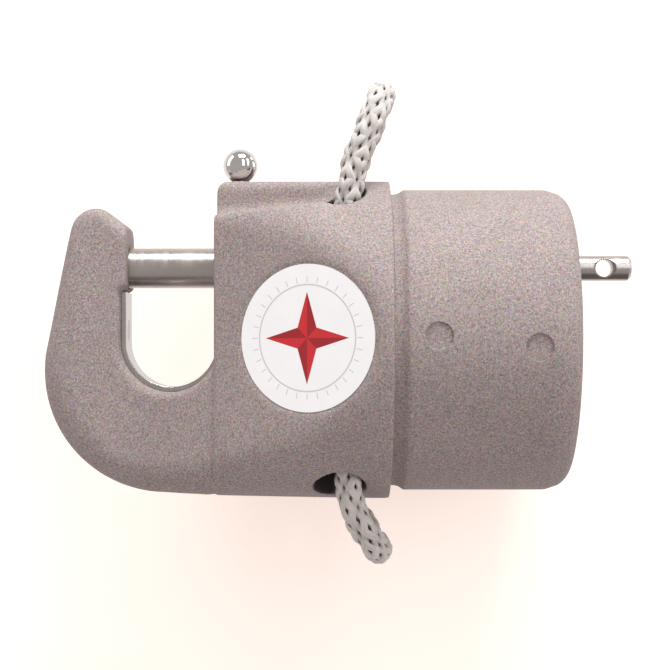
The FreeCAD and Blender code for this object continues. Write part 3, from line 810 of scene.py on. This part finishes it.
@dataclass(frozen=True)
class Studio:
    """The white sheet behind the object, the lamps and the room's light."""

    sheet_gap: float = 3.0 * MM
    sheet_side: float = 6.0
    sheet_colour: Colour = (0.92, 0.80, 0.74)
    sheet_glow: Colour = (0.46, 0.40, 0.37)
    front_level: float = 0.64
    back_level: float = 0.95
    dark_level: float = 0.12
    shine_level: float = 0.42
    back_span: Span = (0.1, 0.6)
    dark_span: Span = (-0.72, -0.86)
    room_colour: Colour = (1.0, 0.94, 0.92)
    white: Colour = (1.0, 1.0, 1.0)
    lamps: tuple[Lamp, ...] = (
        Lamp("key_lamp", 20.0, 70.0, 12.5, wide=0.6, tall=0.4, distance=1.15, colour=(0.97, 1.0, 0.985)),
        Lamp("left_window", -84.0, 30.0, 3.2, wide=0.5, tall=1.2),
        Lamp("middle_window", 21.0, 22.0, 2.2, tall=0.9),
        Lamp("right_window", 58.0, 24.0, 2.2),
        Lamp("far_window", 104.0, 24.0, 1.6),
    )

    def build(self) -> None:
        """Makes the sheet, the lamps and the world."""
        self.make_sheet()
        for lamp in self.lamps:
            lamp.make()
        self.light_room()

    def make_sheet(self) -> None:
        """Makes the sheet that the object lies on in the picture, which takes no light from the object."""
        deselect_all()
        bpy.ops.mesh.primitive_plane_add(
            size=self.sheet_side,
            location=(0.0, CAD_BOX[1].y + self.sheet_gap, 0.0),
            rotation=(math.radians(90.0), 0.0, 0.0),
        )
        sheet = settle(bpy.context.object, "white_sheet")
        sheet.visible_diffuse = False
        sheet.visible_glossy = False
        sheet.visible_transmission = False
        sheet.visible_shadow = False
        sheet.data.materials.append(self.sheet_material())

    def sheet_material(self) -> bpy.types.Material:
        """Makes paper that clips to white where it is lit, keeps soft shadows and is clear from behind.

        Returns:
            The material.
        """
        material = bpy.data.materials.new("white_paper")
        material.use_nodes = True
        nodes = material.node_tree.nodes
        nodes.remove(nodes["Principled BSDF"])
        tree = Tree(material.node_tree)
        lit = tree.node("AddShader")
        tree.set(lit.inputs[0], tree.node("BsdfDiffuse", Color=self.sheet_colour).outputs[0])
        tree.set(lit.inputs[1], tree.node("Emission", Color=self.sheet_glow, Strength=1.0).outputs[0])
        seen = tree.node("MixShader")
        tree.set(seen.inputs[0], tree.node("NewGeometry").outputs["Backfacing"])
        tree.set(seen.inputs[1], lit.outputs[0])
        tree.set(seen.inputs[2], tree.node("BsdfTransparent").outputs[0])
        tree.set(nodes["Material Output"].inputs["Surface"], seen.outputs[0])
        return material

    def light_room(self) -> None:
        """Lights the room: white past the sheet, bright behind the object, softer in front, dark below."""
        world = bpy.data.worlds.new("white_room")
        bpy.context.scene.world = world
        world.use_nodes = True
        tree = Tree(world.node_tree)
        room = world.node_tree.nodes["Background"]
        across, back, up = tree.parts(tree.node("TexCoord").outputs["Generated"])
        rays = tree.node("LightPath").outputs
        shine = tree.math("MULTIPLY", rays["Is Glossy Ray"], self.shine_level - self.front_level)
        front = tree.math("ADD", shine, self.front_level)
        behind = tree.smooth_step(back, *self.back_span)
        level = tree.math("MULTIPLY_ADD", behind, tree.math("SUBTRACT", self.back_level, front), front)
        below = tree.math("MULTIPLY", tree.smooth_step(up, *self.dark_span), rays["Is Glossy Ray"])
        level = tree.math("MULTIPLY_ADD", below, tree.math("SUBTRACT", self.dark_level, level), level)
        seen = tree.math("MAXIMUM", rays["Is Camera Ray"], rays["Is Transmission Ray"])
        tree.set(room.inputs["Color"], tree.mix(seen, self.room_colour, self.white))
        tree.set(room.inputs["Strength"], tree.math("MAXIMUM", level, seen))


def dress(node: str, material: bpy.types.Material) -> bpy.types.Object:
    """Gives a CAD node its finish.

    Args:
        node: The node's name.
        material: The finish.

    Returns:
        The node's object.
    """
    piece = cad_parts[node]
    piece.data.materials.clear()
    piece.data.materials.append(material)
    LOG.info("%s: %s", node, material.name)
    return piece


@dataclass(frozen=True)
class JawCasting:
    """The one-piece casting: hook, wedge-shaped body and hollow spigot, with soft sand-cast edges."""

    finish: CastFinish = CastFinish("cast_grey", (0.345, 0.288, 0.280), 0.74)
    crease: float = math.radians(50.0)
    weld: float = 0.001 * MM
    cell: float = 0.62 * MM
    light_passes: int = 2
    cast_passes: int = 12
    most_triangles: int = 190000
    cast_end: float = -1.2 * MM
    lean: float = math.radians(2.0)
    lean_foot: float = -5.0 * MM
    arm: Span = (-94.0 * MM, -82.0 * MM)
    bore: Span = (-90.5 * MM, 21.0 * MM)
    bore_radius: float = 6.5 * MM
    rope_hole_reach: float = 60.0 * MM
    spigot_start: float = 0.25 * MM
    spigot_radius: float = 47.5 * MM
    spigot_least: float = 45.6 * MM
    groove_floor: float = 1.4 * MM
    groove_end: float = 4.5 * MM
    groove_depth: float = 1.4 * MM
    lead_start: float = 48.0 * MM
    lead_length: float = 8.0 * MM
    lead_drop: float = 6.0 * MM
    lead_most: float = 0.99
    dimples: tuple[Span, ...] = ((13.1 * MM, 0.5 * MM), (42.4 * MM, -2.9 * MM))
    dimple_radius: float = 4.1 * MM
    dimple_depth: float = 0.75 * MM
    bar_length: float = 10.0 * MM
    bar_sides: int = 96

    def build(self, effects: Effects) -> None:
        """Makes the eased casting and dresses it.

        Args:
            effects: The shared node groups.
        """
        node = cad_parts["jaw_casting"]
        piece = bpy.data.objects.new("jaw_casting_eased", node.data.copy())
        bpy.context.scene.collection.objects.link(piece)
        self.merge(piece)
        self.open_rope_holes(piece)
        self.ease(piece)
        self.lean_arm(piece)
        self.turn_spigot(piece)
        self.clear_bore(piece)
        self.sink_dimples(piece)
        piece.data.materials.clear()
        piece.data.materials.append(self.finish.material(effects))
        settle(piece, "jaw_casting_eased")
        bpy.ops.object.shade_smooth_by_angle(angle=self.crease)
        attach(piece, HOUSING)
        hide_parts("jaw_casting")
        LOG.info("jaw_casting_eased: %d faces", len(piece.data.polygons))

    def merge(self, piece: bpy.types.Object) -> None:
        """Joins the loose triangles of the copied mesh.

        Args:
            piece: The casting.
        """
        make_active(piece)
        bpy.ops.object.mode_set(mode="EDIT")
        bpy.ops.mesh.select_all(action="SELECT")
        bpy.ops.mesh.remove_doubles(threshold=self.weld)
        bpy.ops.object.mode_set(mode="OBJECT")

    def ease(self, piece: bpy.types.Object) -> None:
        """Rounds the edges of the hook and the body, and those of the turned spigot only a little.

        Args:
            piece: The casting.
        """
        remesh = piece.modifiers.new("cells", "REMESH")
        remesh.mode = "VOXEL"
        remesh.voxel_size = self.cell
        apply_modifiers(piece)
        group = piece.vertex_groups.new(name="cast_surface")
        cast = [vertex.index for vertex in piece.data.vertices if vertex.co.x < self.cast_end]
        group.add(cast, 1.0, "REPLACE")
        for count, name in ((self.light_passes, ""), (self.cast_passes, group.name)):
            smooth = piece.modifiers.new("smooth", "SMOOTH")
            smooth.factor = 0.5
            smooth.iterations = count
            smooth.vertex_group = name
        thin = piece.modifiers.new("thin", "DECIMATE")
        thin.ratio = min(1.0, self.most_triangles / (2.0 * len(piece.data.polygons)))
        apply_modifiers(piece)
        piece.vertex_groups.clear()

    def lean_arm(self, piece: bpy.types.Object) -> None:
        """Leans the outside of the hook's arm in towards the jaw.

        Args:
            piece: The casting.
        """
        outside, inside = self.arm
        rise = math.tan(self.lean)
        for vertex in piece.data.vertices:
            spot = vertex.co
            if spot.x < inside and spot.z > self.lean_foot:
                share = min(1.0, (inside - spot.x) / (inside - outside))
                spot.x += share * (spot.z - self.lean_foot) * rise

    def spigot_profile(self, along: float) -> float:
        """Works out the spigot's radius, with its groove behind the shoulder and its rounded lead.

        Args:
            along: The distance from the shoulder.

        Returns:
            The radius.
        """
        if along < self.groove_end:
            climb = max(0.0, along - self.groove_floor) / (self.groove_end - self.groove_floor)
            return self.spigot_radius - self.groove_depth * (1.0 - climb * climb)
        share = min(self.lead_most, max(0.0, along - self.lead_start) / self.lead_length)
        return self.spigot_radius - self.lead_drop * (1.0 - math.sqrt(1.0 - share * share))

    def turn_spigot(self, piece: bpy.types.Object) -> None:
        """Turns the spigot's outside true to its profile, and leaves its hollow as it is.

        Args:
            piece: The casting.
        """
        for vertex in piece.data.vertices:
            spot = vertex.co
            reach = math.hypot(spot.y, spot.z)
            wanted = self.spigot_profile(spot.x)
            least = wanted if spot.x > self.lead_start else self.spigot_least
            if spot.x > self.spigot_start and reach > least:
                spot.y *= wanted / reach
                spot.z *= wanted / reach

    def sink_dimples(self, piece: bpy.types.Object) -> None:
        """Sinks the dimples that mark the pole's fastenings, on both sides.

        Args:
            piece: The casting.
        """
        for along, up in self.dimples:
            for side in (-1.0, 1.0):
                across = side * math.sqrt(self.spigot_radius**2 - up**2)
                way = Vector((0.0, across, up)).normalized()
                middle = Vector((along, across, up)) + way * (self.bar_length / 2.0 - self.dimple_depth)
                self.drill(piece, middle, self.dimple_radius, self.bar_length, way)

    def open_rope_holes(self, piece: bpy.types.Object) -> None:
        """Widens the rope's holes to the dark mouths that show beside the rope.

        Args:
            piece: The casting.
        """
        along, side = ROPE_HOLE
        upright = Vector((0.0, 0.0, 1.0))
        for across in (-side, side):
            middle = Vector((along, across, 0.0))
            self.drill(piece, middle, ROPE_HOLE_RADIUS, 2.0 * self.rope_hole_reach, upright)

    def clear_bore(self, piece: bpy.types.Object) -> None:
        """Clears the piston's bore after the smoothing.

        Args:
            piece: The casting.
        """
        low, high = self.bore
        middle = Vector(((low + high) / 2, 0.0, PISTON_AXIS))
        self.drill(piece, middle, self.bore_radius, high - low, Vector((1.0, 0.0, 0.0)))

    def drill(
        self, piece: bpy.types.Object, middle: Vector, radius: float, length: float, way: Vector
    ) -> None:
        """Takes a round bar out of the piece.

        Args:
            piece: The piece.
            middle: The bar's centre.
            radius: The bar's radius.
            length: The bar's length.
            way: The direction that the bar lies in.
        """
        deselect_all()
        bpy.ops.mesh.primitive_cylinder_add(
            vertices=self.bar_sides,
            radius=radius,
            depth=length,
            location=middle,
            rotation=way.to_track_quat("Z", "Y").to_euler(),
        )
        bar = bpy.context.object
        cut = piece.modifiers.new("drilled", "BOOLEAN")
        cut.operation = "DIFFERENCE"
        cut.solver = "EXACT"
        cut.object = bar
        apply_modifiers(piece)
        bpy.data.objects.remove(bar)


@dataclass(frozen=True)
class ThroatLiner:
    """The steel strip in the throat, with its screws."""

    strip: StripSteel = StripSteel("rolled_strip", (0.60, 0.57, 0.54), 0.22)
    screw: TurnedSteel = TurnedSteel("screw_steel", (0.55, 0.53, 0.5), 0.3)

    def build(self, effects: Effects) -> None:
        """Dresses the strip and its screws.

        Args:
            effects: The shared node groups.
        """
        dress("throat_liner", self.strip.material(effects))
        steel = self.screw.material(effects)
        for node in ("liner_screw_arm", "liner_screw_heel"):
            dress(node, steel)


@dataclass(frozen=True)
class PistonSet:
    """What slides: piston, rod, cross pin, stem and ball."""

    bar: TurnedSteel = TurnedSteel("turned_bar", (0.60, 0.555, 0.53), 0.24, axis_height=PISTON_AXIS)
    ball: MirrorSteel = MirrorSteel("polished_ball", (0.86, 0.84, 0.82), 0.06)

    def build(self, effects: Effects) -> None:
        """Dresses the sliding pieces.

        Args:
            effects: The shared node groups.
        """
        steel = self.bar.material(effects)
        for node in ("piston", "trip_rod", "rod_pin", "knob_stem"):
            dress(node, steel)
        dress("ball_knob", self.ball.material(effects))


@dataclass(frozen=True)
class SpringGuide:
    """The spring behind the piston, and the plug and ring that hold it."""

    wire: TurnedSteel = TurnedSteel("spring_wire", (0.46, 0.44, 0.42), 0.3, axis_height=PISTON_AXIS)
    bush: BushPlastic = BushPlastic("black_acetal", (0.022, 0.022, 0.024), 0.42)

    def build(self, effects: Effects) -> None:
        """Dresses the spring, plug and ring.

        Args:
            effects: The shared node groups.
        """
        steel = self.wire.material(effects)
        dress("return_spring", steel)
        dress("plug_circlip", steel)
        dress("guide_plug", self.bush.material(effects))


@dataclass(frozen=True)
class Badge:
    """The printed disc let into the near flank."""

    paper: Colour = (0.96, 0.96, 0.97)
    roughness: float = 0.3
    taper: float = math.radians(25.7)

    def build(self, effects: Effects) -> None:
        """Dresses the disc with a print that is centred on it.

        Args:
            effects: The shared node groups.
        """
        low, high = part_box("badge")
        middle = tuple((a + b) / 2 for a, b in zip(low, high))
        finish = PrintedBadge("printed_disc", self.paper, self.roughness, centre=middle, taper=self.taper)
        dress("badge", finish.material(effects))


# The rope's route in metres: up out of the near hole, over, down through the far one, under and back.
ROPE_ROUTE: tuple[Place, ...] = (
    (-0.0138, -0.0220, 0.0220),
    (-0.0138, -0.0220, 0.0480),
    (-0.0055, -0.0215, 0.0680),
    (-0.0020, -0.0120, 0.0775),
    (-0.0020, 0.0120, 0.0775),
    (-0.0055, 0.0215, 0.0680),
    (-0.0138, 0.0220, 0.0480),
    (-0.0145, 0.0220, -0.0470),
    (-0.0080, 0.0215, -0.0590),
    (-0.0030, 0.0120, -0.0665),
    (-0.0030, -0.0120, -0.0665),
    (-0.0080, -0.0215, -0.0590),
    (-0.0145, -0.0220, -0.0470),
    (-0.0139, -0.0220, 0.0215),
)


@dataclass
class Tubes:
    """The rope's mesh while it is made: points with their own coordinates, and the faces between them."""

    vertices: list[Vector] = field(default_factory=list)
    faces: list[tuple[int, ...]] = field(default_factory=list)
    places: list[Span] = field(default_factory=list)
    outward: list[float] = field(default_factory=list)
    seam: float = 0.75

    def add(self, spot: Vector, place: Span, outward: float) -> None:
        """Adds a point.

        Args:
            spot: Where it lies.
            place: Its own coordinates, along the tube and round it.
            outward: How far out it stands in the rope, from 0 to 1.
        """
        self.vertices.append(spot)
        self.places.append(place)
        self.outward.append(outward)

    def skin(self, first: int, count: int, sides: int) -> None:
        """Adds the faces of one tube, with closed ends.

        Args:
            first: The tube's first point.
            count: How many rings of points it has.
            sides: How many points a ring has.
        """
        for index in range(count - 1):
            row = first + index * sides
            for corner in range(sides):
                beside = (corner + 1) % sides
                self.faces.append((row + corner, row + corner + sides, row + beside + sides, row + beside))
        last = first + (count - 1) * sides
        self.faces.append(tuple(first + corner for corner in range(sides)))
        self.faces.append(tuple(last + corner for corner in reversed(range(sides))))

    def make(self, name: str) -> bpy.types.Object:
        """Makes the tubes one smooth object.

        Args:
            name: The object's name.

        Returns:
            The object, with its points' coordinates as "strand" and how far out they stand as "outward".
        """
        mesh = bpy.data.meshes.new(name)
        mesh.from_pydata(self.vertices, [], self.faces)
        layer = mesh.uv_layers.new(name="strand")
        for polygon in mesh.polygons:
            corners = [mesh.loops[index].vertex_index for index in polygon.loop_indices]
            wraps = max(self.places[corner][1] for corner in corners) > self.seam
            for index, corner in zip(polygon.loop_indices, corners):
                reach, around = self.places[corner]
                layer.data[index].uv = (reach, 1.0 if wraps and around == 0.0 else around)
        attribute = mesh.attributes.new("outward", "FLOAT", "POINT")
        attribute.data.foreach_set("value", self.outward)
        piece = bpy.data.objects.new(name, mesh)
        bpy.context.scene.collection.objects.link(piece)
        make_active(piece)
        bpy.ops.object.shade_smooth()
        return piece


@dataclass(frozen=True)
class RopeBridle:
    """The braided rope that runs through the holes beside the shoulder."""

    radius: float = 4.5 * MM
    length: float = 0.3566
    strands: int = 12
    pitch: float = 40.0 * MM
    step: float = 0.75 * MM
    smoothness: int = 24
    sides: int = 8
    strand_wide: float = 1.22 * MM
    strand_thick: float = 0.70 * MM
    weave: float = 0.42 * MM
    core: float = 2.75 * MM
    finish: BraidedFibre = BraidedFibre("braided_fibre", (0.70, 0.66, 0.63), 0.75)

    def build(self, effects: Effects) -> None:
        """Args:
            effects: The shared node groups.
        """
        line = self.route()
        frames = self.frames(line)
        tubes = Tubes()
        for number in range(self.strands):
            self.add_strand(tubes, line, frames, number)
        self.add_core(tubes, line, frames)
        rope = tubes.make("rope_braid")
        rope.data.materials.append(self.finish.material(effects))
        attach(rope, HOUSING)
        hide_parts("rope_bridle")
        LOG.info("rope_braid: %d faces", len(rope.data.polygons))

    def route(self) -> list[Vector]:
        """Reads the rope's centre line from a smooth spline through its route.

        Returns:
            Points one step apart along the line.
        """
        curve = bpy.data.curves.new("rope_route", "CURVE")
        curve.dimensions = "3D"
        curve.resolution_u = self.smoothness
        spline = curve.splines.new("NURBS")
        spline.points.add(len(ROPE_ROUTE) - 1)
        for point, place in zip(spline.points, ROPE_ROUTE):
            point.co = (*place, 1.0)
        spline.order_u = 3
        spline.use_endpoint_u = True
        holder = bpy.data.objects.new("rope_route", curve)
        bpy.context.scene.collection.objects.link(holder)
        bpy.context.view_layer.update()
        mesh = bpy.data.meshes.new_from_object(holder)
        points = [vertex.co.copy() for vertex in mesh.vertices]
        bpy.data.objects.remove(holder)
        bpy.data.meshes.remove(mesh)
        return self.even(points)

    def even(self, points: Sequence[Vector]) -> list[Vector]:
        """Spaces a line's points evenly, about one step apart.

        Args:
            points: The line's points.

        Returns:
            The evenly spaced points.
        """
        lengths = [0.0]
        for first, second in zip(points, points[1:]):
            lengths.append(lengths[-1] + (second - first).length)
        count = round(lengths[-1] / self.step)
        spaced = []
        index = 0
        for number in range(count + 1):
            reach = lengths[-1] * number / count
            while index < len(points) - 2 and lengths[index + 1] < reach:
                index += 1
            run = lengths[index + 1] - lengths[index]
            share = (reach - lengths[index]) / run if run else 0.0
            spaced.append(points[index].lerp(points[index + 1], min(share, 1.0)))
        return spaced

    def frames(self, line: Sequence[Vector]) -> list[tuple[Vector, Vector, Vector]]:
        """Works out the line's direction at each point, and two square to it that don't twist about it.

        Args:
            line: The rope's centre line.

        Returns:
            The direction, and the two that are square to it, for each point.
        """
        across = Vector((0.0, 1.0, 0.0))
        frames = []
        for before, after in zip([line[0], *line], [*line[1:], line[-1]]):
            way = (after - before).normalized()
            across = (across - way * across.dot(way)).normalized()
            frames.append((way, across.copy(), way.cross(across)))
        return frames

    def add_strand(self, tubes: Tubes, line: Sequence[Vector], frames: Sequence[tuple], number: int) -> None:
        """Adds a strand: half of them turn each way, and each goes over and under in pairs.

        Args:
            tubes: The rope's mesh.
            line: The rope's centre line.
            frames: The directions at each of its points.
            number: The strand's number.
        """
        first = len(tubes.vertices)
        half = self.strands // 2
        side_way = 1.0 if number < half else -1.0
        phase = 2.0 * math.pi * (number % half) / half
        ring = self.radius - self.strand_thick - self.weave
        lean = 2.0 * math.pi * ring / self.pitch * side_way
        for index, spot in enumerate(line):
            way, across, up = frames[index]
            reach = self.step * index
            angle = phase + side_way * 2.0 * math.pi * reach / self.pitch
            wave = math.sin(half * 2.0 * math.pi * reach / self.pitch + number % half * math.pi)
            out = ring + self.weave * side_way * wave
            radial = across * math.cos(angle) + up * math.sin(angle)
            around = across * -math.sin(angle) + up * math.cos(angle)
            side = radial.cross((way + around * lean).normalized()).normalized()
            for corner in range(self.sides):
                bend = 2.0 * math.pi * corner / self.sides
                offset = side * math.cos(bend) * self.strand_wide
                offset = offset + radial * math.sin(bend) * self.strand_thick
                # Painted shade: how far out each point stands sets how dark the finish paints it, darkest on
                # the strands' undersides.
                outward = (side_way * wave + math.sin(bend)) / 4.0 + 0.5
                tubes.add(spot + radial * out + offset, (reach, corner / self.sides), outward)
        tubes.skin(first, len(line), self.sides)

    def add_core(self, tubes: Tubes, line: Sequence[Vector], frames: Sequence[tuple]) -> None:
        """Adds the core that shows between the strands, which stands at no height out and so takes the full
        painted shade.

        Args:
            tubes: The rope's mesh.
            line: The rope's centre line.
            frames: The directions at each of its points.
        """
        first = len(tubes.vertices)
        sides = 2 * self.sides
        for index, spot in enumerate(line):
            way, across, up = frames[index]
            for corner in range(sides):
                bend = 2.0 * math.pi * corner / sides
                offset = (across * math.cos(bend) + up * math.sin(bend)) * self.core
                # Outward 0: the core is painted fully dark, as the shade between the strands.
                tubes.add(spot + offset, (self.step * index, corner / sides), 0.0)
        tubes.skin(first, len(line), sides)


def main() -> None:
    """Builds the scene: camera, rope, dressed pieces and studio."""
    logging.basicConfig(level=logging.INFO, format="%(name)s: %(message)s")
    scene = bpy.context.scene
    scene.view_settings.view_transform = "Standard"
    deselect_all()
    Photograph().make_camera()
    effects = Effects()
    RopeBridle().build(effects)
    for assembly in (JawCasting(), ThroatLiner(), PistonSet(), SpringGuide(), Badge()):
        assembly.build(effects)
    Studio().build()


if __name__ == "__main__":
    main()
